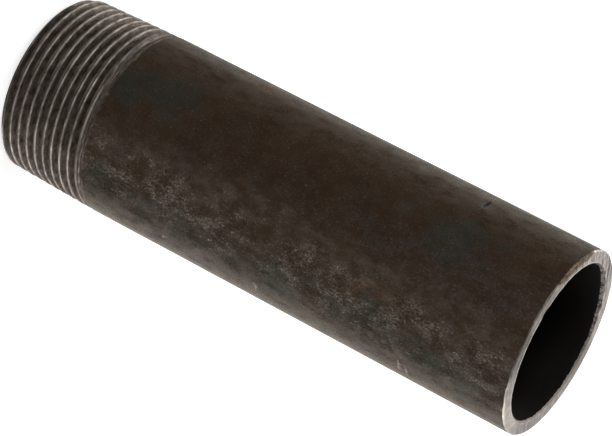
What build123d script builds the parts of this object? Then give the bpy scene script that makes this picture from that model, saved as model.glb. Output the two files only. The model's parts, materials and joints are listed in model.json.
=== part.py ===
from build123d import *

import math
import os

# A weld nipple: a length of steel pipe with a taper pipe thread cut on its lower end
# and a plain, square-cut upper end that is welded into a pipe or a wall.
# The origin is the centre of the threaded end's face, from which the thread's gauge
# length is measured. +Z runs along the pipe to the weld end. All sizes are in mm.

# The pipe
outside_diameter = 42.4
wall = 3.2
length = 131.0

# The cut ends: broken edges at the weld end, which was sawn square, and at the threaded
# end, which was chamfered for the die and reamed. All are at 45 degrees.
weld_end_chamfer = 0.4
weld_end_deburr = 0.5
threaded_end_chamfer = 1.0
threaded_end_deburr = 0.5

# The taper pipe thread, 1 1/4 inch size, right-hand. Its crests and roots are cut flat.
# At the gauge length above the end's face, the crests are smaller than the pipe by the
# gauge step, which makes the gauge diameter 41.910.
threads_per_inch = 11
flank_angle = 55.0
crest_flat = 0.385
root_flat = 0.385
gauge_length = 12.7
gauge_step = 0.490
taper = 1 / 16

# How far up the middle of the last groove reaches, the turns over which it climbs out
# of the pipe, and where around the pipe a groove's middle is half a pitch up
thread_length = 22.8
runout_turns = 0.6
thread_start_angle = -169.0

# How far the cutter stands out of the crests
cutter_clearance = 0.2

# Worked out from the sizes above
outer_radius = outside_diameter / 2
bore_radius = outer_radius - wall
gauge_radius = (outside_diameter - gauge_step) / 2
pitch = 25.4 / threads_per_inch
flank_slope = math.tan(math.radians(flank_angle / 2))
thread_height = (pitch - crest_flat - root_flat) / 2 / flank_slope
cone_angle = math.degrees(math.atan(taper / 2))
crest_cone_top = gauge_length + gauge_step / taper


def crest_radius(z):
    """Radius of the thread's crests at a height above the threaded end's face."""
    return gauge_radius + (z - gauge_length) * taper / 2


def root_radius(z):
    """Radius of the thread's roots at a height above the threaded end's face."""
    return crest_radius(z) - thread_height


def pipe_blank():
    """The pipe before its thread is cut: tapered and chamfered at the lower end."""
    chamfer_radius = crest_radius(threaded_end_chamfer)
    outline = [
        (bore_radius + threaded_end_deburr, 0),
        (chamfer_radius - threaded_end_chamfer, 0),
        (chamfer_radius, threaded_end_chamfer),
        (outer_radius, crest_cone_top),
        (outer_radius, length - weld_end_chamfer),
        (outer_radius - weld_end_chamfer, length),
        (bore_radius + weld_end_deburr, length),
        (bore_radius, length - weld_end_deburr),
        (bore_radius, threaded_end_deburr),
    ]
    with BuildPart() as blank:
        with BuildSketch(Plane.XZ):
            with BuildLine():
                Polyline(*outline, close=True)
            make_face()
        revolve(axis=Axis.Z)
    return blank.part


def groove_corners(z):
    """The groove's section at a height: its flat root, and its mouth outside the crests."""
    half_root = root_flat / 2
    half_mouth = half_root + (thread_height + cutter_clearance) * flank_slope
    mouth_radius = crest_radius(z) + cutter_clearance
    return [
        (mouth_radius, z - half_mouth),
        (root_radius(z), z - half_root),
        (root_radius(z), z + half_root),
        (mouth_radius, z + half_mouth),
    ]


def groove_piece(z, turns, climb_angle, turned):
    """A stretch of the groove that starts at a height and an angle around the pipe,
    and moves outwards as it rises, at an angle to the pipe's axis."""
    slant_pitch = pitch / math.cos(math.radians(climb_angle))
    spirals = []
    for radius, start in groove_corners(z):
        spirals.append(Helix(slant_pitch, turns * pitch, radius, (0, 0, start), cone_angle=climb_angle))
    faces = []
    for here, following in zip(spirals, spirals[1:] + spirals[:1]):
        faces.append(Face.make_surface_from_curves(here.edge(), following.edge()))
    for end in (0, 1):
        faces.append(Face(Wire.make_polygon([spiral @ end for spiral in spirals])))
    return Solid(Shell(faces)).rotate(Axis.Z, turned)


def thread_groove():
    """The groove that the die cuts, in pieces of at most one turn: a cutter that winds
    around itself isn't cut reliably. It starts below the end's face, follows the taper,
    and climbs out of the pipe over its last part turn, where the die stops."""
    start = -1.5 * pitch
    top = thread_length - runout_turns * pitch
    turns = (top - start) / pitch
    pieces = []
    for turn in range(math.ceil(turns)):
        piece_turns = min(1, turns - turn)
        pieces.append(groove_piece(start + turn * pitch, piece_turns, cone_angle, thread_start_angle))
    climb = thread_height + cutter_clearance
    runout_angle = math.degrees(math.atan(climb / (runout_turns * pitch)))
    runout_start = thread_start_angle + 360 * turns
    pieces.append(groove_piece(top, runout_turns, runout_angle, runout_start))
    return pieces


weld_nipple = pipe_blank()
for piece in thread_groove():
    weld_nipple -= piece

os.makedirs("parts", exist_ok=True)
export_step(weld_nipple, "parts/weld_nipple.step")
print("solids", len(weld_nipple.solids()), "valid", weld_nipple.is_valid)
print("volume", round(weld_nipple.volume, 1), "faces", len(weld_nipple.faces()))
print("thread height", round(thread_height, 4), "crest cone top", round(crest_cone_top, 3))
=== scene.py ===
# %% [markdown]
# A weld nipple is a length of steel pipe with a taper pipe thread on one end. The other
# end is sawn square and welded into a pipe or a tank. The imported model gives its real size
# and stands it on its threaded end. This file replaces the plain solid with one mesh that
# carries the marks of the work: the torn thread, the saw cut and the scale of the mill.

# %% Load the frame
import json
import math

import bpy
from mathutils import Matrix, Vector, noise


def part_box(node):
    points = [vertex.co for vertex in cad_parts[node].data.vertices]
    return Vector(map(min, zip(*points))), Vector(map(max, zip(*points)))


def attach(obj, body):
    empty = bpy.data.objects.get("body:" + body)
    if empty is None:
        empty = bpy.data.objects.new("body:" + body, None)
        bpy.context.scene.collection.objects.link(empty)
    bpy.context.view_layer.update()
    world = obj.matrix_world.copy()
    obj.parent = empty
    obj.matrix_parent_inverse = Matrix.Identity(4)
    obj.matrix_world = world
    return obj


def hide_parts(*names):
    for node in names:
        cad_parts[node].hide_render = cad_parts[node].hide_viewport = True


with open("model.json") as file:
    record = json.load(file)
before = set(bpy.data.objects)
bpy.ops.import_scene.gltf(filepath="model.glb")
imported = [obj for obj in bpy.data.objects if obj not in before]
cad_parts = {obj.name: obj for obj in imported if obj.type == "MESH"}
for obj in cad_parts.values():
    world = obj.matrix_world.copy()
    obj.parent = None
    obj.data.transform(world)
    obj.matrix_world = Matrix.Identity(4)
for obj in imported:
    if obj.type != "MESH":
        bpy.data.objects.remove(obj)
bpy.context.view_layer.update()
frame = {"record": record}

MM = 0.001

# %% [markdown]
# The sizes come from the frame wherever it holds them: the box gives the outside radius
# and the length, and the mounts give the bore and the thread's gauge plane. What the frame
# doesn't hold is the thread's own standard form and the small edges left by the tools.

# %% Sizes, in millimetres
lowest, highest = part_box("weld_nipple")
mounts = {mount["name"]: mount for mount in frame["record"]["mounts"]}
outer_radius = highest[0] / MM
length = (highest[2] - lowest[2]) / MM
bore_radius = mounts["bore"]["dims"]["r_mm"]
gauge_height = mounts["taper_thread"]["pos_m"][2] / MM

threads_per_inch = 11
pitch = 25.4 / threads_per_inch
flank_angle = math.radians(55 / 2)
crest_round = 0.137329 * pitch
thread_height = 0.640327 * pitch
gauge_step = 0.490
taper = 1 / 16
foot_radius = outer_radius - gauge_step / 2 - gauge_height * taper / 2
thread_start = math.radians(-169)

weld_chamfer = 0.4
weld_deburr = 0.5
thread_chamfer = 1.0
thread_deburr = 0.5
print(f"pipe {2 * outer_radius:.1f} x {length:.1f}, bore {2 * bore_radius:.1f}, pitch {pitch:.3f} mm")

# %% [markdown]
# The standard form of this thread has straight flanks at 55 degrees that run into equal
# rounds on the crests and in the roots. It could be cut from the pipe with a swept groove.
# A function of the place along one pitch is easier to wear down and tear: it gives the
# depth, from 0 at the middle of a crest to the full height in a groove, and back.

# %% The thread's shape over one pitch
round_reach = crest_round * math.cos(flank_angle)
round_depth = crest_round * (1 - math.sin(flank_angle))

# The bright line on a crest lies along its upper corner, and fades to both sides of it: partly
# rubbed steel and partly a painted highlight, where that corner catches the light
corner_above_crest = 0.1
line_above = 0.24
line_below = 0.42


def groove_depth(turn):
    """How deep the surface lies under the crests, at a share of the pitch."""
    off_crest = pitch * (0.5 - abs(turn % 1 - 0.5))
    off_root = pitch / 2 - off_crest
    if off_crest < round_reach:
        return crest_round - math.sqrt(crest_round ** 2 - off_crest ** 2)
    if off_root < round_reach:
        return thread_height - crest_round + math.sqrt(crest_round ** 2 - off_root ** 2)
    return round_depth + (off_crest - round_reach) / math.tan(flank_angle)


def crest_share(turn):
    """1 along the upper corner of a crest, fading to 0 just over its round."""
    off_corner = pitch * (turn - round(turn)) - corner_above_crest
    reach = line_above if off_corner > 0 else line_below
    return max(1 - (off_corner / reach) ** 2, 0)


# Where a column of the mesh has points along one pitch: close together on the rounds
bend = round_reach / pitch
half_stations = [0, 0.3 * bend, 0.6 * bend, 0.85 * bend, bend, 1.4 * bend, 0.25, 0.32]
half_stations += [0.5 - bend, 0.5 - 0.6 * bend]
stations = half_stations + [0.5] + [1 - share for share in half_stations[:0:-1]]
print(f"thread {thread_height:.3f} mm high, rounds of {crest_round:.3f}, {len(stations)} points a pitch")

# %% [markdown]
# A real die, saw and mill leave nothing even: crests tear, edges wander, and the rolled skin
# waves a little. That could be sculpted by hand. Here it is smooth noise, with features of a
# known size in millimetres, and a few helpers that fade a mark in and out.

# %% Helpers for uneven surfaces
def rough(x, y, z, grain, seed=0.0):
    """Smooth noise from about -1 to 1, with features of one grain, in millimetres."""
    return noise.noise(Vector((x / grain + seed, y / grain - seed, z / grain + 2 * seed)))


def level_place(angle, radius=outer_radius):
    """The two level coordinates of a point at an angle around the pipe's axis."""
    return radius * math.cos(angle), radius * math.sin(angle)


def edge_wander(angle, grain, seed):
    """Noise along an edge around the pipe, with features of one grain, in millimetres."""
    x, y = level_place(angle)
    return rough(x, y, 0, grain, seed)


def around(angle, centre, width):
    """1 at an angle around the pipe, fading to 0 at a width to either side, in degrees."""
    off = math.degrees(math.remainder(angle - math.radians(centre), math.tau)) / width
    return math.exp(-off * off)


def rise(value, start, end):
    """0 up to the start, 1 from the end on, and straight between them."""
    return min(max((value - start) / (end - start), 0), 1)


print("noise on the pipe at three angles:", [round(edge_wander(angle, 5, 3), 2) for angle in (0, 1, 2)])

# %% [markdown]
# The outside of the nipple is one radius for each height and angle. The crests lie on a
# cone that widens by 1 in 16 and would leave the pipe at about 20 mm, so the radius is the
# smaller of the cone and the pipe. Where the die stops, the groove climbs out of the pipe.
# The die also tears the crests, and its mouth scrapes a thin ring off the pipe above them.

# %% The outside radius
# Heights in mm: where the last groove starts to climb and where it is out of the pipe, the
# last whole crest, the top of the scraped ring, and the bright spots on the ring
runout_from = 20.9
runout_to = 23.3
last_crest = 20.0
scraped_to = 23.3
bright_spots_from = 22.2

# Depths of the wear in mm, and the angle in degrees where the last crest has broken away
worn_depth = 0.035
torn_depth = 0.05
broken_depth = 0.25
scraped_depth = 0.09
scored_depth = 0.02
break_angle = -104

# How far the root of the groove has climbed past the crests where it is out, in mm
climbed_past = 0.1


def above_crests(z):
    """0 below the last whole crest, 1 above it."""
    return rise(z, last_crest - 0.5, last_crest + 0.5)


def crest_break(z, angle):
    """1 where the last crest has broken away, 0 elsewhere."""
    return around(angle, break_angle, width=6) * above_crests(z)


def die_wander(angle):
    """How far the end of the die's cut wanders up and down around the pipe."""
    coarse = edge_wander(angle, grain=5, seed=3)
    return 0.25 * coarse + 0.15 * edge_wander(angle, grain=1.5, seed=5)


def thread_radius(z, angle):
    """The radius of the worn and torn thread, and of its last groove as it climbs out."""
    x, y = level_place(angle)
    turn = z / pitch - (angle - thread_start) / math.tau
    climbed = rise(z + 0.4 * die_wander(angle), runout_from, runout_to)
    worn = worn_depth + 0.03 * rough(x, y, 4 * z, grain=5, seed=6)
    torn = torn_depth * max(rough(x, y, 6 * z, grain=1.6, seed=8) - 0.1, 0)
    lost = (torn + broken_depth * crest_break(z, angle)) * crest_share(turn)
    cone = foot_radius + z * taper / 2
    depth = max(groove_depth(turn), worn) + lost
    return cone + (thread_height + climbed_past) * climbed - depth


def pipe_radius(z, angle):
    """The radius of the rolled skin, and of the ring that the die's mouth scraped."""
    x, y = level_place(angle)
    wide_waves = 0.02 * (rough(x, y, z, grain=9, seed=1) - 1)
    skin_waves = wide_waves + 0.012 * rough(x, y, z, grain=2.5, seed=2)
    scraped = above_crests(z) * rise(scraped_to - z + 2 * die_wander(angle), 0, 0.3)
    scored = scored_depth * rough(0.2 * x, 0.2 * y, z, grain=0.2, seed=4)
    return outer_radius + skin_waves - (scraped_depth - scored) * scraped


def outside_radius(z, angle):
    """The radius of the outer surface at a height and an angle around the pipe."""
    chamfer = foot_radius - thread_chamfer + z
    return min(thread_radius(z, angle), pipe_radius(z, angle), chamfer, outer_radius)


def rubbed_and_highlit(z, angle, turn):
    """How bright the steel is painted: rubbed bright in spots on the ring, and on the crests rubbed
    bright with a painted highlight along the upper corner.
    """
    x, y = level_place(angle)
    spot = 1.2 * max(rough(x, y, 3 * z, grain=1.1, seed=9), 0)
    on_ring = spot * rise(z, bright_spots_from, bright_spots_from + 0.3)
    return max(crest_share(turn) * (1 - crest_break(z, angle)), on_ring)


print(f"radius at the foot {outside_radius(0, 0):.2f}, of the scale {outside_radius(30, 0):.2f} mm")

# %% [markdown]
# The mesh is a skin of columns that stand around the pipe, joined by faces. Each point also
# carries a number that says how bright it is painted: rubbed steel, and on the crests also a
# painted highlight. Each face carries the number of its finish. A small class keeps these
# lists together while the skin grows.

# %% A skin that grows ring by ring
class Skin:
    """The nipple's points and faces, how bright each point is, and each face's finish."""

    def __init__(self, columns):
        self.columns = columns
        self.points = []
        self.brightness = []
        self.faces = []
        self.finishes = []

    def angle(self, column):
        return thread_start + math.tau * column / self.columns

    def point(self, radius, angle, z, bright=0.0):
        x, y = level_place(angle, radius)
        self.points.append((x * MM, y * MM, z * MM))
        self.brightness.append(bright)
        return len(self.points) - 1

    def face(self, corners, finish):
        self.faces.append(corners)
        self.finishes.append(finish)

    def ring(self, outline):
        """A ring of points. The outline gives a radius and a height for each angle."""
        made = []
        for column in range(self.columns):
            angle = self.angle(column)
            radius, z = outline(angle)
            made.append(self.point(radius, angle, z))
        return made

    def band(self, lower, upper, finish):
        """Joins two rings, with the finished side outwards when going up the outside."""
        for here in range(self.columns):
            after = (here + 1) % self.columns
            self.face([lower[here], lower[after], upper[after], upper[here]], finish)


OUTSIDE, SAWN, BORE = range(3)
skin = Skin(columns=300)
print(f"columns: {skin.columns}, {math.tau * outer_radius / skin.columns:.2f} mm apart")

# %% [markdown]
# The thread is a helix, so a mesh of level rings would cut across its crests and leave them
# ragged. Here each column of points climbs with the helix instead: a point keeps its place
# on the thread's shape from one column to the next, and after a whole turn it meets the
# point one pitch higher. Level rings start again below and above the thread.

# %% The threaded stretch
plain_from = 24.0
ring_gap = 0.04


def thread_columns():
    """For each column, the points between the two rings by their number along the helix."""
    columns = []
    top_turn = math.ceil(plain_from / pitch)
    for column in range(skin.columns):
        angle = skin.angle(column)
        points = {}
        for number in range(-2 * len(stations), top_turn * len(stations)):
            turns, station = divmod(number, len(stations))
            turn = turns + stations[station]
            z = pitch * (turn + column / skin.columns)
            if ring_gap < z < plain_from - ring_gap:
                bright = rubbed_and_highlit(z, angle, turn)
                points[number] = skin.point(outside_radius(z, angle), angle, z, bright)
        columns.append(points)
    return columns


def thread_skin(bottom, top):
    """Joins neighbouring columns point by point, and their ends to the two rings."""
    columns = thread_columns()
    for here in range(skin.columns):
        after = (here + 1) % skin.columns
        left = columns[here]
        shift = len(stations) if after == 0 else 0
        right = {number - shift: point for number, point in columns[after].items()}
        shared = sorted(set(left) & set(right))
        for lower, upper in zip(shared, shared[1:]):
            skin.face([left[lower], right[lower], right[upper], left[upper]], OUTSIDE)
        first = shared[0]
        last = shared[-1]
        foot = [right[number] for number in sorted(right) if number < first]
        skin.face([bottom[here], bottom[after]] + foot + [right[first], left[first]], OUTSIDE)
        head = [left[number] for number in sorted(left, reverse=True) if number > last]
        skin.face([left[last], right[last], top[after], top[here]] + head, OUTSIDE)


foot_ring = skin.ring(lambda angle: (outside_radius(0, angle), 0))
thread_top = skin.ring(lambda angle: (outside_radius(plain_from, angle), plain_from))
thread_skin(foot_ring, thread_top)
print("thread:", len(skin.faces), "faces")

# %% [markdown]
# Above the thread the pipe is plain, apart from one short dent across it near the weld end.
# A dent could be a pattern of the material. It is in the mesh, because its edge catches the
# light, and the rings lie closer together there to hold it.

# %% The plain stretch
dent_height = 106.6
dent_angle = -150.7
dent_half_length = 2.4
dent_half_width = 0.6
dent_lean = 0.08
dent_depth = 0.25
dent_ring_step = 0.12


def dent(z, angle):
    """How deep the dent is at a height and an angle: a long oval that leans a little."""
    sideways = outer_radius * math.remainder(angle - math.radians(dent_angle), math.tau)
    upwards = z - dent_height - dent_lean * sideways
    inside = 1 - (sideways / dent_half_length) ** 2 - (upwards / dent_half_width) ** 2
    return dent_depth * max(inside, 0)


# The last plain ring lies 1 mm below the broken edge, which brings its own ring
plain_rings = 26
plain_top = length - weld_chamfer
plain_step = (plain_top - 1 - plain_from) / plain_rings
heights = [plain_from + plain_step * step for step in range(1, plain_rings + 1)]
heights += [dent_height + dent_ring_step * step for step in range(-4, 5)]
below = thread_top
for height in sorted(heights):
    ring = skin.ring(lambda angle: (outside_radius(height, angle) - dent(height, angle), height))
    skin.band(below, ring, OUTSIDE)
    below = ring
pipe_ring = below
print("plain stretch:", len(heights), "rings")

# %% [markdown]
# The weld end was cut by a saw with straight strokes. The blade leaves a narrow broken edge
# outside, which wanders and is hardly there on the far side. Around the bore it leaves a
# rolled burr, wider where the blade left the wall, with a small nick on the near side. A
# bevel modifier would make both edges even, so each has its own width at each angle.

# %% The edges of the saw cut
# The flat of the face lies a little lower than the burr's lip, in mm
face_drop = 0.06
lip_width = 0.3


def chamfer_width(angle):
    """How wide the broken outer edge of the saw cut is: hardly broken on the far side."""
    coarse = 0.45 * edge_wander(angle, grain=4, seed=11)
    fine = 0.25 * edge_wander(angle, grain=1.2, seed=12)
    far_side = around(angle, centre=70, width=65)
    return weld_chamfer * (0.8 + coarse + fine) * (1 - 0.75 * far_side)


def burr_depth(angle):
    """How far down the bore the rolled burr reaches: furthest where the blade left."""
    where_blade_left = 1.2 * around(angle, centre=145, width=35)
    coarse = 0.35 * edge_wander(angle, grain=3, seed=13)
    fine = 0.3 * edge_wander(angle, grain=0.9, seed=14)
    return weld_deburr * (0.7 + where_blade_left + coarse + fine)


def burr_width(angle):
    """How far the rolled burr has pushed the face's inner edge outwards."""
    nick = 0.9 * around(angle, centre=-103, width=4)
    coarse = 0.3 * edge_wander(angle, grain=3.5, seed=15)
    fine = 0.22 * edge_wander(angle, grain=1, seed=16)
    return weld_deburr * (0.9 + nick + coarse + fine)


def on_face(angle, share):
    """A radius and height on the sawn face, at a share of the way in from its outer edge."""
    outer_edge = outer_radius - 0.9 * chamfer_width(angle)
    inner_edge = bore_radius + burr_width(angle)
    radius = outer_edge + (inner_edge - outer_edge) * share
    lip = rise(inner_edge + lip_width - radius, 0, lip_width)
    x, y = level_place(angle, radius)
    uneven = 0.02 * abs(rough(x, y, 0, grain=2.2, seed=21))
    return radius, length - face_drop * (1 - lip) - uneven


widths = [chamfer_width(skin.angle(column)) for column in range(skin.columns)]
print(f"broken outer edge: {min(widths):.2f} to {max(widths):.2f} mm wide")

# %% [markdown]
# Rings now run up over the broken edge, inwards across the face and down the burr. They lie
# closest together near the lip, which is only a few tenths of a millimetre wide.

# %% The sawn face
def broken_edge(angle):
    return outside_radius(plain_top, angle), length - chamfer_width(angle) - face_drop


def burr_middle(angle):
    return bore_radius + 0.3 * burr_width(angle), length - 0.6 * burr_depth(angle)


def burr_foot(angle):
    return bore_radius, length - burr_depth(angle) - 0.05


edge_ring = skin.ring(broken_edge)
skin.band(pipe_ring, edge_ring, OUTSIDE)
below = edge_ring
for share in [0, 0.2, 0.4, 0.6, 0.8, 0.87, 0.93, 1]:
    ring = skin.ring(lambda angle: on_face(angle, share))
    skin.band(below, ring, SAWN)
    below = ring
for outline in [burr_middle, burr_foot]:
    ring = skin.ring(outline)
    skin.band(below, ring, SAWN)
    below = ring
bore_start = below
print("with the sawn face:", len(skin.faces), "faces")

# %% [markdown]
# The bore is as rolled: a plain, slightly uneven tube down to the reamed edge at the threaded
# end. A cylinder would do, but it would have to be joined to the skin. Rings go on from the
# burr instead, and the last one meets the first ring of the thread, which closes the skin.

# %% The bore
bore_rings = 16
bore_top = length - 2
bore_step = (bore_top - thread_deburr) / (bore_rings - 1)
below = bore_start
for step in range(bore_rings):
    height = bore_top - bore_step * step
    uneven = 0.0 if step == bore_rings - 1 else 0.03
    ring = skin.ring(lambda angle: (
        bore_radius - uneven * abs(edge_wander(angle, grain=6, seed=height)), height))
    skin.band(below, ring, BORE)
    below = ring
reamed = skin.ring(lambda angle: (bore_radius + thread_deburr, 0))
skin.band(below, reamed, OUTSIDE)
skin.band(reamed, foot_ring, OUTSIDE)
print("whole skin:", len(skin.points), "points,", len(skin.faces), "faces")

# %% [markdown]
# The skin becomes one closed mesh that replaces the plain solid. Smooth shading hides the
# flat faces, and edges that turn by more than 32 degrees are left sharp, which keeps the cut
# edges crisp. The brightness goes with the mesh as an attribute that a material can read.

# %% The nipple
mesh = bpy.data.meshes.new("nipple_mesh")
mesh.from_pydata(skin.points, [], skin.faces)
mesh.polygons.foreach_set("material_index", skin.finishes)
mesh.polygons.foreach_set("use_smooth", [True] * len(mesh.polygons))
brightness = mesh.attributes.new("thread_crest", "FLOAT", "POINT")
brightness.data.foreach_set("value", skin.brightness)
mesh.set_sharp_from_angle(angle=math.radians(32))
mesh.validate()
mesh.update()
nipple = bpy.data.objects.new("threaded_pipe", mesh)
bpy.context.scene.collection.objects.link(nipple)

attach(nipple, "root")
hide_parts("weld_nipple")
print("triangles:", sum(len(polygon.vertices) - 2 for polygon in mesh.polygons))

# %% [markdown]
# Colours are written as sRGB hex values, as a paint chart or an image program gives them.
# Blender's shaders work in linear light, so one function converts them. One more function
# adds a node, sets it up and links it, and every material below is built with it.

# %% Colours and nodes
def colour(hex_value):
    """An sRGB hex colour as linear red, green, blue and alpha."""
    parts = [int(hex_value[place:place + 2], 16) / 255 for place in (1, 3, 5)]
    linear = [part / 12.92 if part <= 0.04045 else ((part + 0.055) / 1.055) ** 2.4 for part in parts]
    return (*linear, 1.0)


def add(tree, kind, settings=None, inputs=None):
    """Adds a node with its settings. Each input is a plain value, an output of another
    node, or another node, whose first output in use is then linked."""
    made = tree.nodes.new(kind)
    for name, value in (settings or {}).items():
        setattr(made, name, value)
    for name, value in (inputs or {}).items():
        if isinstance(value, bpy.types.Node):
            value = next(output for output in value.outputs if output.enabled)
        if isinstance(value, bpy.types.NodeSocket):
            tree.links.new(value, made.inputs[name])
        else:
            made.inputs[name].default_value = value
    return made


def new_material(name):
    """An empty node material on the nipple: its tree, and the place on the nipple."""
    material = bpy.data.materials.new(name)
    material.use_nodes = True
    material.node_tree.nodes.clear()
    nipple.data.materials.append(material)
    place = add(material.node_tree, "ShaderNodeTexCoord").outputs["Object"]
    return material.node_tree, place


# Inputs of a Mix node: the share, then two plain values, or A and B for two colours
SHARE, FIRST, SECOND, A, B = 0, 2, 3, 6, 7
COLOURS = {"data_type": "RGBA"}
SOFT = {"interpolation_type": "SMOOTHSTEP"}
print("middle grey #808080 is", round(colour("#808080")[0], 3), "in linear light")

# %% [markdown]
# Large marks lie where the photograph shows them. They could be painted on an image. A short
# list is easier to change: each mark is an oval with a height, an angle and its reach along
# and around the pipe. Noise moves the place to and fro, so that its border turns ragged.
# A noise value lies mostly between 0.3 and 0.7. Map Range nodes with limits in that range
# turn it into patches with soft borders, here and in all the materials below.

# %% Marks on the pipe
def spots(tree, place, marks):
    """1 in the middle of oval marks on the pipe, fading to 0 at their rims. Each mark is a
    height in mm, an angle in degrees, and its reach along and around the pipe in mm."""
    covered = 0.0
    for height, angle, tall, wide in marks:
        turned = math.radians(angle)
        x, y = level_place(turned)
        local = add(tree, "ShaderNodeMapping", {"vector_type": "TEXTURE"}, {
            "Vector": place, "Location": (x * MM, y * MM, height * MM),
            "Rotation": (0, 0, turned), "Scale": (wide * MM, wide * MM, tall * MM)})
        away = add(tree, "ShaderNodeVectorMath", {"operation": "LENGTH"}, {0: local})
        mark = add(tree, "ShaderNodeMapRange", SOFT, {
            "Value": away.outputs["Value"], "From Min": 1.2, "From Max": 0.3})
        covered = add(tree, "ShaderNodeMath", {"operation": "MAXIMUM"}, {0: covered, 1: mark})
    return covered


def bent(tree, place, grain, reach):
    """The place moved to and fro by noise, with a grain and a reach in mm."""
    wander = add(tree, "ShaderNodeTexNoise", inputs={
        "Vector": place, "Scale": 1 / (grain * MM), "Detail": 3, "Roughness": 0.65})
    centred = add(tree, "ShaderNodeVectorMath", {"operation": "SUBTRACT"}, {
        0: wander.outputs["Color"], 1: (0.5, 0.5, 0.5)})
    return add(tree, "ShaderNodeVectorMath", {"operation": "MULTIPLY_ADD"}, {
        0: centred, 1: [reach * MM] * 3, 2: place})


print("one degree around the pipe is", round(math.radians(1) * outer_radius, 2), "mm")

# %% [markdown]
# Hot-rolled pipe leaves the mill with a skin of blue-black iron oxide, the mill scale.
# Handling breaks it up: it turns brown where thin rust grows and stays slate-grey where it
# is whole. It is a dull dielectric over steel, so it is dark seen straight on and mirrors
# the room at a glancing angle. One noise gives both the two browns and stray slate patches,
# about 9 mm across, so that slate shows only in the lighter brown.

# %% Mill scale: its colours
patch_grain = 9

# Each mark: height in mm, angle in degrees, reach along and around the pipe in mm
slate_spots = [
    (34, -114, 10, 6), (26, -106, 5, 5), (107.5, -115, 9, 7), (117.5, -124, 2.5, 2),
    (28, -49, 7, 5), (41, -47, 7, 4), (52, -43, 9, 5), (61, -46, 6, 4), (75, -44, 9, 5),
    (90, -46, 5, 5), (98, -51, 6, 5), (110, -44, 9, 4), (123, -42, 6, 5)]
rust_spots = [(96, -67, 5, 2.5), (51, -160, 5, 4)]


def scale_colours(tree, place):
    """The colour of the mill scale: two browns, with slate-grey and rusty patches."""
    tone = add(tree, "ShaderNodeTexNoise", inputs={
        "Vector": place, "Scale": 1 / (patch_grain * MM), "Detail": 6, "Roughness": 0.7})
    browns = add(tree, "ShaderNodeMix", COLOURS, {
        SHARE: tone, A: colour("#1e150d"), B: colour("#38291c")})
    ragged = bent(tree, place, grain=5, reach=16)
    stray = add(tree, "ShaderNodeMapRange", SOFT, {
        "Value": tone, "From Min": 0.56, "From Max": 0.75})
    unbroken = add(tree, "ShaderNodeMath", {"operation": "MAXIMUM"}, {
        0: stray, 1: spots(tree, ragged, slate_spots)})
    slate = add(tree, "ShaderNodeMath", {"operation": "MULTIPLY"}, {0: unbroken, 1: 0.58})
    slated = add(tree, "ShaderNodeMix", COLOURS, {SHARE: slate, A: browns, B: colour("#242924")})
    rust = add(tree, "ShaderNodeMath", {"operation": "MULTIPLY"}, {
        0: spots(tree, ragged, rust_spots), 1: 0.6})
    return add(tree, "ShaderNodeMix", COLOURS, {SHARE: rust, A: slated, B: colour("#4a3122")})


print("mill scale:", len(slate_spots), "slate and", len(rust_spots), "rusty patches")

# %% [markdown]
# The pipe lay and slid on racks, so the scale is worn in three belts along it. A cosine of
# three times the angle around the pipe rises in each belt, and noise breaks their borders.

# %% Mill scale: its worn belts
belt_count = 3
belt_angle = -57
belt_grain = 7


def worn_belts(tree, place):
    """1 in the worn belts along the pipe, 0 between them, with a broken border. The second
    value is the same with a wide border, for haze."""
    parts = add(tree, "ShaderNodeSeparateXYZ", inputs={"Vector": place})
    angle = add(tree, "ShaderNodeMath", {"operation": "ARCTAN2"}, {
        0: parts.outputs["Y"], 1: parts.outputs["X"]})
    multiplied = add(tree, "ShaderNodeMath", {"operation": "MULTIPLY_ADD"}, {
        0: angle, 1: belt_count, 2: -belt_count * math.radians(belt_angle)})
    wave = add(tree, "ShaderNodeMath", {"operation": "COSINE"}, {0: multiplied})
    broken = add(tree, "ShaderNodeTexNoise", inputs={
        "Vector": place, "Scale": 1 / (belt_grain * MM), "Detail": 4, "Roughness": 0.7})
    level = add(tree, "ShaderNodeMath", {"operation": "MULTIPLY_ADD"}, {0: broken, 1: 3.0, 2: wave})
    belts = add(tree, "ShaderNodeMapRange", SOFT, {
        "Value": level, "From Min": 1.85, "From Max": 2.6})
    wide_belts = add(tree, "ShaderNodeMapRange", SOFT, {
        "Value": level, "From Min": 1.3, "From Max": 2.5})
    return belts, wide_belts


print("worn belts at", [belt_angle + 360 // belt_count * turn for turn in range(belt_count)], "degrees")

# %% [markdown]
# In the belts, fine silvery and lilac specks of bare steel show between dark pits, under a
# haze of dust. The specks stand in clusters. A few pale scuffs cross the pipe as well. The
# smallest real specks are under 0.2 mm, which is less than one dot of the render, so their
# grain is drawn at 0.36 mm. Both grains are a little longer along the pipe, as it was rolled.

# %% Mill scale: its specks and pits
speck_grain = 0.36
cluster_grain = 2.6

# Heights are scaled by this before the noise is read, which makes its grains longer
along_scale = 0.65

# Each scuff: height in mm, angle in degrees, reach along and around the pipe in mm
scuffs = [
    (105.3, -25, 0.35, 2.2), (107, -22, 0.3, 2.4), (45, -27, 0.7, 0.6), (69, -26, 0.4, 1.8),
    (57.3, -45.5, 0.4, 0.4)]


def haze_and_pits(tree, oxide, belts, wide_belts, grain, clusters):
    """The colour of the scale with its haze of dust, and with dark pits in the belts."""
    haze = add(tree, "ShaderNodeMapRange", SOFT, {
        "Value": clusters, "From Min": 0.35, "From Max": 0.75, "To Min": 0.12, "To Max": 0.4})
    dusty = add(tree, "ShaderNodeMath", {"operation": "MULTIPLY"}, {0: wide_belts, 1: haze})
    hazed = add(tree, "ShaderNodeMix", COLOURS, {SHARE: dusty, A: oxide, B: colour("#544b40")})
    pits = add(tree, "ShaderNodeMapRange", SOFT, {
        "Value": grain, "From Min": 0.48, "From Max": 0.38, "To Max": 0.75})
    pits_in_belts = add(tree, "ShaderNodeMath", {"operation": "MULTIPLY"}, {0: pits, 1: belts})
    return add(tree, "ShaderNodeMix", COLOURS, {SHARE: pits_in_belts, A: hazed, B: colour("#140f0a")})


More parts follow.
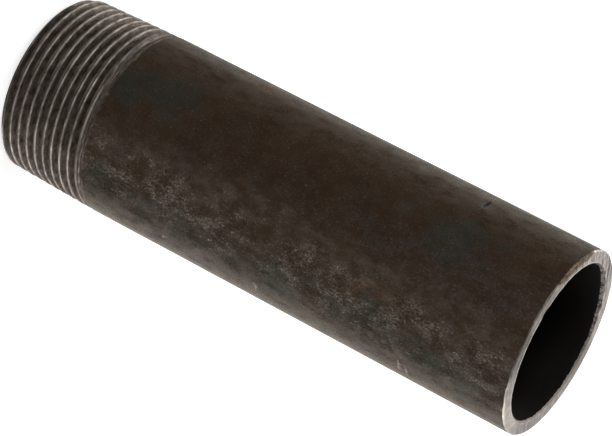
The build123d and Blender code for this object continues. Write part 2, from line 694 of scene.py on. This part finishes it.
def mill_scale(tree, place):
    """The colour of the worn mill scale, and its fine and coarse grain for the relief."""
    belts, wide_belts = worn_belts(tree, place)
    along = add(tree, "ShaderNodeVectorMath", {"operation": "MULTIPLY"}, {
        0: place, 1: (1, 1, along_scale)})
    grain = add(tree, "ShaderNodeTexNoise", inputs={
        "Vector": along, "Scale": 1 / (speck_grain * MM), "Detail": 4, "Roughness": 0.75})
    clusters = add(tree, "ShaderNodeTexNoise", inputs={
        "Vector": along, "Scale": 1 / (cluster_grain * MM), "Detail": 3, "Roughness": 0.6})
    pitted = haze_and_pits(tree, scale_colours(tree, place), belts, wide_belts, grain, clusters)
    crowd = add(tree, "ShaderNodeMapRange", SOFT, {
        "Value": clusters, "From Min": 0.34, "From Max": 0.66, "To Min": 0.15})
    bare = add(tree, "ShaderNodeMath", {"operation": "MULTIPLY"}, {0: belts, 1: crowd})
    lifted = add(tree, "ShaderNodeMath", {"operation": "MULTIPLY_ADD"}, {0: bare, 1: 0.17, 2: grain})
    specks = add(tree, "ShaderNodeMapRange", SOFT, {
        "Value": lifted, "From Min": 0.61, "From Max": 0.88})
    speckled = add(tree, "ShaderNodeMix", COLOURS, {SHARE: specks, A: pitted, B: colour("#6e655e")})
    marks = spots(tree, bent(tree, place, grain=0.8, reach=2.5), scuffs)
    scuffed = add(tree, "ShaderNodeMath", {"operation": "MULTIPLY"}, {0: marks, 1: grain})
    shown = add(tree, "ShaderNodeMix", COLOURS, {SHARE: scuffed, A: speckled, B: colour("#b3aa9c")})
    return shown, grain, clusters


print("specks:", speck_grain, "mm, in clusters of", cluster_grain, "mm")

# %% [markdown]
# The die turns the steel bright, and cutting oil and air soon darken it in the grooves, where
# the colour is also darkened as painted shade. The crests are rubbed by every touch and stay
# the brightest, and a painted highlight lies along their upper corner. The tool leaves fine
# lines along the thread. Their real spacing is under 0.1 mm, and they are drawn at 0.25 mm
# here, so that they show. Stretching the noise around the pipe turns its grains into such lines.

# %% Die-cut steel
line_spacing = 0.25
film_grain = 0.5
stretch_grain = 4

# Level coordinates are scaled by these, which stretches the lines and the film around
line_scale = 0.08
film_scale = 0.25


def oily_and_shaded_grooves(tree, place, mottle):
    """The colour of the grooves, darkened partly by oil and partly as painted shade, with the tool's
    lines, and the lines for the relief.
    """
    stretched = add(tree, "ShaderNodeVectorMath", {"operation": "MULTIPLY"}, {
        0: place, 1: (line_scale, line_scale, 1)})
    lines = add(tree, "ShaderNodeTexNoise", inputs={
        "Vector": stretched, "Scale": 1 / (line_spacing * MM), "Detail": 2, "Roughness": 0.5})
    streaks = add(tree, "ShaderNodeMapRange", inputs={
        "Value": lines, "From Min": 0.35, "From Max": 0.65})
    thinner = add(tree, "ShaderNodeMapRange", inputs={
        "Value": mottle, "From Min": 0.32, "From Max": 0.68})
    # Painted shade: the groove colour is dark partly for oil film and partly for shade in the grooves
    oil_and_shade_tone = add(tree, "ShaderNodeMix", COLOURS, {
        SHARE: thinner, A: colour("#30271f"), B: colour("#7f746a")})
    film = add(tree, "ShaderNodeMath", {"operation": "MULTIPLY"}, {0: streaks, 1: 0.45})
    grooves = add(tree, "ShaderNodeMix", COLOURS, {SHARE: film, A: oil_and_shade_tone, B: colour("#2b221b")})
    return grooves, lines


def cut_steel(tree, place):
    """The colour of the thread, and its lines for the relief."""
    stretched = add(tree, "ShaderNodeVectorMath", {"operation": "MULTIPLY"}, {
        0: place, 1: (film_scale, film_scale, 1)})
    mottle = add(tree, "ShaderNodeTexNoise", inputs={
        "Vector": stretched, "Scale": 1 / (film_grain * MM), "Detail": 4, "Roughness": 0.7})
    grooves, lines = oily_and_shaded_grooves(tree, place, mottle)
    stretches = add(tree, "ShaderNodeTexNoise", inputs={
        "Vector": place, "Scale": 1 / (stretch_grain * MM), "Detail": 2, "Roughness": 0.6})
    polished = add(tree, "ShaderNodeMapRange", inputs={
        "Value": mottle, "From Min": 0.38, "From Max": 0.6, "To Min": 0.45, "To Max": 1.0})
    touched = add(tree, "ShaderNodeMapRange", inputs={
        "Value": stretches, "From Min": 0.35, "From Max": 0.62, "To Min": 0.5, "To Max": 1.0})
    share = add(tree, "ShaderNodeMath", {"operation": "MULTIPLY"}, {0: polished, 1: touched})
    # The crests are painted bright: rubbed steel, with a painted highlight along the upper corner
    crest = add(tree, "ShaderNodeAttribute", {"attribute_name": "thread_crest"})
    bright = add(tree, "ShaderNodeMath", {"operation": "MULTIPLY"}, {0: crest.outputs["Fac"], 1: share})
    metal = add(tree, "ShaderNodeMix", COLOURS, {SHARE: bright, A: grooves, B: colour("#c6bdb5")})
    return metal, lines


print("die-cut steel: lines", line_spacing, "mm apart")

# %% [markdown]
# One material covers the outside, because the cut steel and the scale meet on the same
# surface. The die's mouth has scraped the pipe up to a ragged ring just above the thread.
# The scale has an uneven gloss: its clusters of specks shine more than the dull skin between
# them. Three bumps stand for relief too fine for the mesh: the skin's waves, its grit, and
# the tool's lines, each a few hundredths of a millimetre deep.

# %% Outside of the pipe
ring_grain = 2.2

# The dent is painted near black: a mark like those in the lists above, a little wider than the dent
dent_mark = (dent_height, dent_angle, 0.65, 2.6)


def cut_share(tree, place):
    """1 on the thread and the scraped ring, 0 on the scale, with a ragged border."""
    height = add(tree, "ShaderNodeSeparateXYZ", inputs={"Vector": place}).outputs["Z"]
    ragged = add(tree, "ShaderNodeTexNoise", inputs={
        "Vector": place, "Scale": 1 / (ring_grain * MM), "Detail": 6, "Roughness": 0.8})
    reach = add(tree, "ShaderNodeMath", {"operation": "MULTIPLY_ADD"}, {
        0: ragged, 1: -ring_grain * MM, 2: height})
    return add(tree, "ShaderNodeMapRange", SOFT, {
        "Value": reach, "From Min": (scraped_to - 0.9) * MM, "From Max": (scraped_to - 2) * MM})


def outside_relief(tree, cut, clusters, grain, lines):
    """The waves and grit of the skin, and the tool's lines where the steel is cut."""
    waves = add(tree, "ShaderNodeBump", inputs={
        "Strength": 0.3, "Distance": 0.12 * MM, "Height": clusters})
    grit = add(tree, "ShaderNodeBump", inputs={
        "Strength": 0.6, "Distance": 0.04 * MM, "Height": grain, "Normal": waves})
    return add(tree, "ShaderNodeBump", inputs={
        "Strength": cut, "Distance": 0.04 * MM, "Height": lines, "Normal": grit})


def pipe_outside():
    tree, place = new_material("hot_rolled_pipe_with_die_cut_thread")
    scale, grain, clusters = mill_scale(tree, place)
    metal, lines = cut_steel(tree, place)
    cut = cut_share(tree, place)
    dented = spots(tree, place, [dent_mark])
    skin_colour = add(tree, "ShaderNodeMix", COLOURS, {SHARE: cut, A: scale, B: metal})
    # The dent and a little around it are painted near black
    shown = add(tree, "ShaderNodeMix", COLOURS, {SHARE: dented, A: skin_colour, B: colour("#0d0906")})
    metallic = add(tree, "ShaderNodeMath", {"operation": "MULTIPLY"}, {0: cut, 1: 0.8})
    dull = add(tree, "ShaderNodeMath", {"operation": "MULTIPLY_ADD"}, {0: cut, 1: 0.6, 2: grain})
    smooth = add(tree, "ShaderNodeMapRange", inputs={"Value": dull, "To Min": 0.14, "To Max": 0.36})
    torn = add(tree, "ShaderNodeMath", {"operation": "MULTIPLY_ADD"}, {0: cut, 1: 0.16, 2: smooth})
    roughness = add(tree, "ShaderNodeMath", {"operation": "MAXIMUM"}, {0: torn, 1: dented})
    patchy = add(tree, "ShaderNodeMath", {"operation": "ADD"}, {0: clusters, 1: grain})
    gloss = add(tree, "ShaderNodeMapRange", inputs={
        "Value": patchy, "From Min": 0.82, "From Max": 1.18, "To Min": 0.1, "To Max": 0.95})
    surface = add(tree, "ShaderNodeBsdfPrincipled", inputs={
        "Base Color": shown, "Metallic": metallic, "Roughness": roughness,
        "Specular IOR Level": gloss, "Normal": outside_relief(tree, cut, clusters, grain, lines)})
    add(tree, "ShaderNodeOutputMaterial", inputs={"Surface": surface})
    print("outside of the pipe:", len(tree.nodes), "nodes")


pipe_outside()

# %% [markdown]
# The saw's teeth leave fine straight scores right across the face, from one side of the
# ring to the other, about 0.6 mm apart. They show most on the side where the blade came in.
# They could be cut into the mesh, but it would need thousands of narrow faces. Noise that
# is stretched along the strokes draws them as well. Fresh-cut steel is pale grey.

# %% Sawn steel: the scores
saw_angle = 54
score_spacing = 0.6
score_stretch = 14


def saw_scores(tree, place):
    """The scores for the relief, and the colour of the bare steel between them."""
    stroke = add(tree, "ShaderNodeMapping", {"vector_type": "TEXTURE"}, {
        "Vector": place, "Rotation": (0, 0, math.radians(saw_angle)), "Scale": (score_stretch, 1, 1)})
    scores = add(tree, "ShaderNodeTexNoise", inputs={
        "Vector": stroke, "Scale": 1 / (score_spacing * MM), "Detail": 2, "Roughness": 0.5})
    marked = add(tree, "ShaderNodeMapRange", SOFT, {
        "Value": scores, "From Min": 0.38, "From Max": 0.62})
    sideways = add(tree, "ShaderNodeSeparateXYZ", inputs={"Vector": place}).outputs["X"]
    entered = add(tree, "ShaderNodeMapRange", SOFT, {
        "Value": sideways, "From Min": -10 * MM, "From Max": -17 * MM, "To Min": 0.35, "To Max": 1.0})
    contrast = add(tree, "ShaderNodeMix", inputs={SHARE: entered, FIRST: 0.55, SECOND: marked})
    steel = add(tree, "ShaderNodeMix", COLOURS, {
        SHARE: contrast, A: colour("#4a4540"), B: colour("#c6beb6")})
    return scores, steel


print("saw scores:", score_spacing, "mm apart, at", saw_angle, "degrees")

# %% [markdown]
# Oil from the saw dries on the face in patches: some dim the steel, and some leave a pale
# bloom. Like the marks on the pipe, the patches are short lists, each with a place and two
# distances from it. A fine stain in grey and brown lies over all of the face.

# %% Sawn steel: the patches
# Each patch: angle in degrees, radius, where it starts and is full in mm, and its share
dim_patches = [(-76, 20.4, 8, 3, 1.0), (-106, 20.2, 5, 1.5, 0.5), (88, 18.2, 6.5, 2.5, 0.5)]
pale_patches = [(-20, 20.4, 11, 4, 0.95), (-167, 19.4, 7, 3, 0.5), (120, 21.2, 12, 5, 0.5)]
hue_grain = 14


def close_to(tree, place, angle, radius, starts, full, most):
    """A share on the sawn face that grows from 0 to the most between two distances from a
    point at an angle and a radius, all in mm."""
    x, y = level_place(math.radians(angle), radius)
    away = add(tree, "ShaderNodeVectorMath", {"operation": "DISTANCE"}, {
        0: place, 1: (x * MM, y * MM, length * MM)})
    return add(tree, "ShaderNodeMapRange", SOFT, {
        "Value": away.outputs["Value"], "From Min": starts * MM, "From Max": full * MM, "To Max": most})


def patches(tree, place, listed):
    """The largest share of the listed patches at a place, with ragged borders."""
    ragged = bent(tree, place, grain=2, reach=7)
    covered = 0.0
    for patch in listed:
        share = close_to(tree, ragged, *patch)
        covered = add(tree, "ShaderNodeMath", {"operation": "MAXIMUM"}, {0: covered, 1: share})
    return covered


def stained_steel(tree, place, steel, mottle, fine_spots):
    """The colour of the steel with its dim and pale patches and its stain."""
    dim = patches(tree, place, dim_patches)
    dimmed = add(tree, "ShaderNodeMix", COLOURS, {SHARE: dim, A: steel, B: colour("#5a5647")})
    broken_up = add(tree, "ShaderNodeMapRange", inputs={
        "Value": fine_spots, "To Min": 0.35, "To Max": 0.85})
    bloom = add(tree, "ShaderNodeMath", {"operation": "MULTIPLY"}, {
        0: patches(tree, place, pale_patches), 1: broken_up})
    dried = add(tree, "ShaderNodeMix", COLOURS, {SHARE: bloom, A: dimmed, B: colour("#ebe2d3")})
    wide = add(tree, "ShaderNodeTexNoise", inputs={
        "Vector": place, "Scale": 1 / (hue_grain * MM), "Detail": 1})
    hue = add(tree, "ShaderNodeMapRange", inputs={"Value": wide, "From Min": 0.4, "From Max": 0.6})
    stain = add(tree, "ShaderNodeMix", COLOURS, {
        SHARE: hue, A: colour("#857f84"), B: colour("#857c6e")})
    stained = add(tree, "ShaderNodeMapRange", SOFT, {
        "Value": mottle, "From Min": 0.4, "From Max": 0.65, "To Max": 0.7})
    return add(tree, "ShaderNodeMix", COLOURS, {SHARE: stained, A: dried, B: stain})


print("patches on the sawn face:", len(dim_patches), "dim,", len(pale_patches), "pale")

# %% [markdown]
# Rust starts at the outer edge, and reaches furthest in on one side. The distance from the
# axis gives the edge, and noise makes the rust's border ragged. Around the bore the burr is
# smeared metal: brown-grey, torn where the blade left. A thin painted highlight lies along
# the lip on the near side.

# %% Sawn steel: rust and burr
rust_angle = -139
torn_angle = 145
rust_reach = 3.0
burr_ragged = 0.8


def edge_rust(tree, place, radius, mottle):
    """How far the face has rusted, from its outer edge inwards."""
    near = close_to(tree, place, rust_angle, outer_radius, starts=11, full=4, most=2.6 * MM)
    outwards = add(tree, "ShaderNodeMath", {"operation": "MULTIPLY_ADD"}, {
        0: mottle, 1: rust_reach * MM, 2: radius})
    rusting = add(tree, "ShaderNodeMath", {"operation": "ADD"}, {0: outwards, 1: near})
    return add(tree, "ShaderNodeMapRange", SOFT, {
        "Value": rusting, "To Max": 0.85,
        "From Min": (outer_radius + 2.1) * MM, "From Max": (outer_radius + 2.7) * MM})


def burr_colour(tree, place, fine_spots):
    """The colour of the burr: darker and spotted where the blade tore it."""
    torn = close_to(tree, place, torn_angle, bore_radius, starts=20, full=12, most=1)
    unharmed = add(tree, "ShaderNodeMath", {"operation": "SUBTRACT"}, {0: 1.0, 1: torn})
    clean = add(tree, "ShaderNodeMath", {"operation": "MAXIMUM"}, {0: fine_spots, 1: unharmed})
    return add(tree, "ShaderNodeMix", COLOURS, {
        SHARE: clean, A: colour("#443b34"), B: colour("#8f8781")})


def painted_lip_highlight(tree, place, inwards):
    """How strong the painted highlight along the lip beside the burr is: most on the side towards the
    camera.
    """
    depth = add(tree, "ShaderNodeSeparateXYZ", inputs={"Vector": place}).outputs["Y"]
    near_side = add(tree, "ShaderNodeMapRange", SOFT, {
        "Value": depth, "From Min": 2 * MM, "From Max": -6 * MM, "To Min": 0.1, "To Max": 1.0})
    lip = add(tree, "ShaderNodeMapRange", SOFT, {
        "Value": inwards, "To Max": 0.8,
        "From Min": (bore_radius + 0.35) * MM, "From Max": (bore_radius + 0.2) * MM})
    return add(tree, "ShaderNodeMath", {"operation": "MULTIPLY"}, {0: lip, 1: near_side})


print("rust: most at", rust_angle, "degrees; torn burr: most at", torn_angle, "degrees")

# %% [markdown]
# The material of the face puts these together. Bare steel is a metal with a satin shine. The
# rust and the smeared burr are dull and hardly metallic, so one share fades all three of
# metal, gloss and smoothness out.

# %% Sawn steel
mottle_grain = 1.8
spot_grain = 0.9


def distance_from_axis(tree, place):
    parts = add(tree, "ShaderNodeSeparateXYZ", inputs={"Vector": place})
    flat = add(tree, "ShaderNodeCombineXYZ", inputs={"X": parts.outputs["X"], "Y": parts.outputs["Y"]})
    return add(tree, "ShaderNodeVectorMath", {"operation": "LENGTH"}, {0: flat}).outputs["Value"]


def face_colour(tree, place, steel):
    """The colour of the whole face, and its shares of rust and of burr."""
    mottle = add(tree, "ShaderNodeTexNoise", inputs={
        "Vector": place, "Scale": 1 / (mottle_grain * MM), "Detail": 5, "Roughness": 0.7})
    smeared = add(tree, "ShaderNodeTexNoise", inputs={
        "Vector": place, "Scale": 1 / (spot_grain * MM), "Detail": 3, "Roughness": 0.7})
    fine_spots = add(tree, "ShaderNodeMapRange", SOFT, {
        "Value": smeared, "From Min": 0.42, "From Max": 0.58})
    stained = stained_steel(tree, place, steel, mottle, fine_spots)
    radius = distance_from_axis(tree, place)
    rust = edge_rust(tree, place, radius, mottle)
    browns = add(tree, "ShaderNodeMix", COLOURS, {
        SHARE: fine_spots, A: colour("#2a2015"), B: colour("#77624a")})
    rusty = add(tree, "ShaderNodeMix", COLOURS, {SHARE: rust, A: stained, B: browns})
    inwards = add(tree, "ShaderNodeMath", {"operation": "MULTIPLY_ADD"}, {
        0: mottle, 1: -burr_ragged * MM, 2: radius})
    # A painted highlight along the lip beside the burr, in near-white
    lip_highlighted = add(tree, "ShaderNodeMix", COLOURS, {
        SHARE: painted_lip_highlight(tree, place, inwards), A: rusty, B: colour("#d8d1cd")})
    burr = add(tree, "ShaderNodeMapRange", SOFT, {
        "Value": inwards,
        "From Min": (bore_radius + 0.05) * MM, "From Max": (bore_radius - 0.1) * MM})
    shown = add(tree, "ShaderNodeMix", COLOURS, {
        SHARE: burr, A: lip_highlighted, B: burr_colour(tree, place, fine_spots)})
    return shown, rust, burr


def sawn_face():
    tree, place = new_material("sawn_steel_face")
    scores, steel = saw_scores(tree, place)
    shown, rust, burr = face_colour(tree, place, steel)
    dull = add(tree, "ShaderNodeMath", {"operation": "MULTIPLY_ADD"}, {0: burr, 1: 0.7, 2: rust})
    metallic = add(tree, "ShaderNodeMapRange", inputs={"Value": dull, "To Min": 0.85, "To Max": 0.0})
    gloss = add(tree, "ShaderNodeMapRange", inputs={"Value": dull, "To Min": 0.5, "To Max": 0.05})
    roughness = add(tree, "ShaderNodeMapRange", inputs={"Value": dull, "To Min": 0.45, "To Max": 0.9})
    relief = add(tree, "ShaderNodeBump", inputs={
        "Strength": 0.7, "Distance": 0.1 * MM, "Height": scores})
    surface = add(tree, "ShaderNodeBsdfPrincipled", inputs={
        "Base Color": shown, "Metallic": metallic, "Roughness": roughness, "Normal": relief,
        "Specular IOR Level": gloss})
    add(tree, "ShaderNodeOutputMaterial", inputs={"Surface": surface})
    print("sawn face:", len(tree.nodes), "nodes")


sawn_face()

# %% [markdown]
# Inside, the scale is untouched and dusty, and hardly any light comes back out. Its colour is
# painted far darker than the same scale outside, as painted shade deep in the bore: a dull,
# near black oxide with a grain of 1.5 mm and almost no gloss is all that the eye can make out.

# %% Mill scale inside the bore, with painted shade
bore_grain = 1.5


def shaded_bore_scale():
    tree, place = new_material("mill_scale_in_the_bore_with_painted_shade")
    grain = add(tree, "ShaderNodeTexNoise", inputs={
        "Vector": place, "Scale": 1 / (bore_grain * MM), "Detail": 4})
    # Painted shade: the scale in the bore is painted near black
    oxide = add(tree, "ShaderNodeMix", COLOURS, {
        SHARE: grain, A: colour("#070605"), B: colour("#120e0b")})
    surface = add(tree, "ShaderNodeBsdfPrincipled", inputs={
        "Base Color": oxide, "Roughness": 0.7, "Specular IOR Level": 0.1})
    add(tree, "ShaderNodeOutputMaterial", inputs={"Surface": surface})


shaded_bore_scale()
print("materials:", [material.name for material in nipple.data.materials])

# %% [markdown]
# The nipple stands on white paper in a white room. Glossy scale mirrors its surroundings, and
# that draws the dark middle of the pipe and its pale sides: it mirrors a floor that is
# bright behind it and dim in front. A photographer would lay out black and white cards.
# Here the Light Path node tells apart the rays that look straight at the background and
# those that a glossy surface mirrors, so that each kind can meet its own brightness.

# %% Which rays see what
def kinds_of_ray(tree):
    """1 for the rays that look at the background, of the camera and through glass, and as
    the second value 1 for those that a glossy surface mirrors."""
    rays = add(tree, "ShaderNodeLightPath")
    looking = add(tree, "ShaderNodeMath", {"operation": "MAXIMUM"}, {
        0: rays.outputs["Is Camera Ray"], 1: rays.outputs["Is Transmission Ray"]})
    return looking, rays.outputs["Is Glossy Ray"]


def direction_parts(tree, direction):
    """The three parts of a direction, made one long."""
    unit = add(tree, "ShaderNodeVectorMath", {"operation": "NORMALIZE"}, {0: direction})
    return add(tree, "ShaderNodeSeparateXYZ", inputs={"Vector": unit})


print("background for the camera: white, for mirrors: bright behind and dim in front")

# %% [markdown]
# The paper is lit as a pale floor is. The white that the camera sees is its own colour with
# a little glow added for those rays alone, so it still shows the soft shadow. To a mirror
# it is dark in front and bright behind: on the right the bright part begins at a sharp
# line, and on the left it comes up slowly.

# %% The floor
# The point that the directions on the floor are taken from, in mm from the pipe's axis
mirror_middle = (17, -12, 0)
paper_glow = 0.55


def mirrored_floor(tree, place):
    """How bright the floor is to a mirror, by the direction from the middle point."""
    beside = add(tree, "ShaderNodeVectorMath", {"operation": "SUBTRACT"}, {
        0: place, 1: [value * MM for value in mirror_middle]})
    parts = direction_parts(tree, beside)
    sharp_side = add(tree, "ShaderNodeMapRange", SOFT, {
        "Value": parts.outputs["Y"], "From Min": 0.3, "From Max": 0.4, "To Min": 0.24, "To Max": 0.68})
    slow_side = add(tree, "ShaderNodeMapRange", inputs={
        "Value": parts.outputs["Y"], "From Min": -0.4, "From Max": 0.8, "To Min": 0.05, "To Max": 0.42})
    side = add(tree, "ShaderNodeMapRange", inputs={
        "Value": parts.outputs["X"], "From Min": -0.2, "From Max": 0.2})
    return add(tree, "ShaderNodeMix", inputs={SHARE: side, FIRST: slow_side, SECOND: sharp_side})


def white_paper():
    """Matte white paper, with its own brightness for what a glossy surface mirrors."""
    material = bpy.data.materials.new("white_paper")
    material.use_nodes = True
    tree = material.node_tree
    tree.nodes.clear()
    looking, mirrored = kinds_of_ray(tree)
    place = add(tree, "ShaderNodeTexCoord").outputs["Object"]
    glow = add(tree, "ShaderNodeMath", {"operation": "MULTIPLY"}, {0: looking, 1: paper_glow})
    paper = add(tree, "ShaderNodeBsdfPrincipled", inputs={
        "Base Color": colour("#e4e4e4"), "Roughness": 0.9, "Specular IOR Level": 0.0,
        "Emission Color": colour("#ffffff"), "Emission Strength": glow})
    reflected = add(tree, "ShaderNodeEmission", inputs={
        "Color": colour("#fff6ea"), "Strength": mirrored_floor(tree, place)})
    surface = add(tree, "ShaderNodeMixShader", inputs={0: mirrored, 1: paper, 2: reflected})
    add(tree, "ShaderNodeOutputMaterial", inputs={"Surface": surface})
    return material


# The sheet lies a hair under the nipple, so that the two don't share a plane
bpy.ops.mesh.primitive_plane_add(size=6, location=(0, 0, -0.02 * MM))
floor = bpy.context.object
floor.name = "floor"
floor.data.materials.append(white_paper())
print("floor:", [round(value, 2) for value in floor.dimensions], "m")

# %% [markdown]
# The room is plain white to the camera. To everything else it is bright at the far end,
# behind the nipple, and dim behind the camera. This gives the soft light from behind that
# leaves the pipe's near side dark.

# %% The room
dim_end = 0.17
bright_end = 0.9


def white_room():
    world = bpy.data.worlds.new("white_room")
    world.use_nodes = True
    tree = world.node_tree
    tree.nodes.clear()
    looking = kinds_of_ray(tree)[0]
    parts = direction_parts(tree, add(tree, "ShaderNodeTexCoord").outputs["Generated"])
    behind = add(tree, "ShaderNodeMapRange", SOFT, {
        "Value": parts.outputs["Y"], "From Max": 0.7, "To Min": dim_end, "To Max": bright_end})
    strength = add(tree, "ShaderNodeMath", {"operation": "MAXIMUM"}, {0: looking, 1: behind})
    background = add(tree, "ShaderNodeBackground", inputs={
        "Color": colour("#ffffff"), "Strength": strength})
    add(tree, "ShaderNodeOutputWorld", inputs={"Surface": background})
    return world


bpy.context.scene.world = white_room()
print("room: strength", dim_end, "in front to", bright_end, "behind")

# %% [markdown]
# Four soft boxes add to the room. A large one stands on the side where the photograph shows
# the pipe paler. A smaller one, high on the other side, lights up the thread's crests. Two
# in front of the pipe lift the sawn face and the crests on the near side out of the dark.

# %% The lamps
def soft_box(name, place, target, size, power):
    """A square area lamp at a place that faces a target, in metres and watts."""
    lamp = bpy.data.lights.new(name, "AREA")
    lamp.shape = "SQUARE"
    lamp.size = size
    lamp.energy = power
    box = bpy.data.objects.new(name, lamp)
    box.location = place
    box.visible_camera = False
    box.rotation_euler = (Vector(target) - Vector(place)).to_track_quat("-Z", "Y").to_euler()
    bpy.context.scene.collection.objects.link(box)
    print(f"{name}: {size} m wide, {power} W")


middle = (0, 0, length / 2 * MM)
soft_box("box_right", (0.9, 0.05, 0.35), middle, 0.8, 7)
soft_box("box_left", (-0.75, 0.4, 0.55), middle, 0.5, 4.5)
soft_box("box_front", (-0.25, -1.1, 0.3), middle, 0.7, 3.5)
soft_box("box_corner", (-0.75, -0.9, 0.45), middle, 0.3, 5)

# %% [markdown]
# The photograph lays the pipe slantwise across the picture. The nipple stands upright
# here, so the camera looks down on it and is rolled by the same slant. Its distance, height
# and focal length were fitted to the outline of the pipe.

# %% The camera
camera_elevation = math.radians(22.41)
camera_roll = math.radians(117.53)
camera_distance = 625.6
camera_aim = Vector((1.21, 0, 68.2))
focal_length = 172.3
sensor_width = 36

back = Vector((0, -math.cos(camera_elevation), math.sin(camera_elevation)))
level_right = Vector((1, 0, 0))
level_up = back.cross(level_right)
picture_right = level_right * math.cos(camera_roll) + level_up * math.sin(camera_roll)
picture_up = back.cross(picture_right)
camera = bpy.data.objects.new("camera", bpy.data.cameras.new("camera"))
axes = Matrix((picture_right, picture_up, back)).transposed().to_4x4()
camera.matrix_world = Matrix.Translation((camera_aim + back * camera_distance) * MM) @ axes
camera.data.lens = focal_length
camera.data.sensor_width = sensor_width
bpy.context.scene.collection.objects.link(camera)
bpy.context.scene.camera = camera
bpy.context.scene.view_settings.view_transform = "Standard"
print("camera at", [round(value, 4) for value in camera.location])
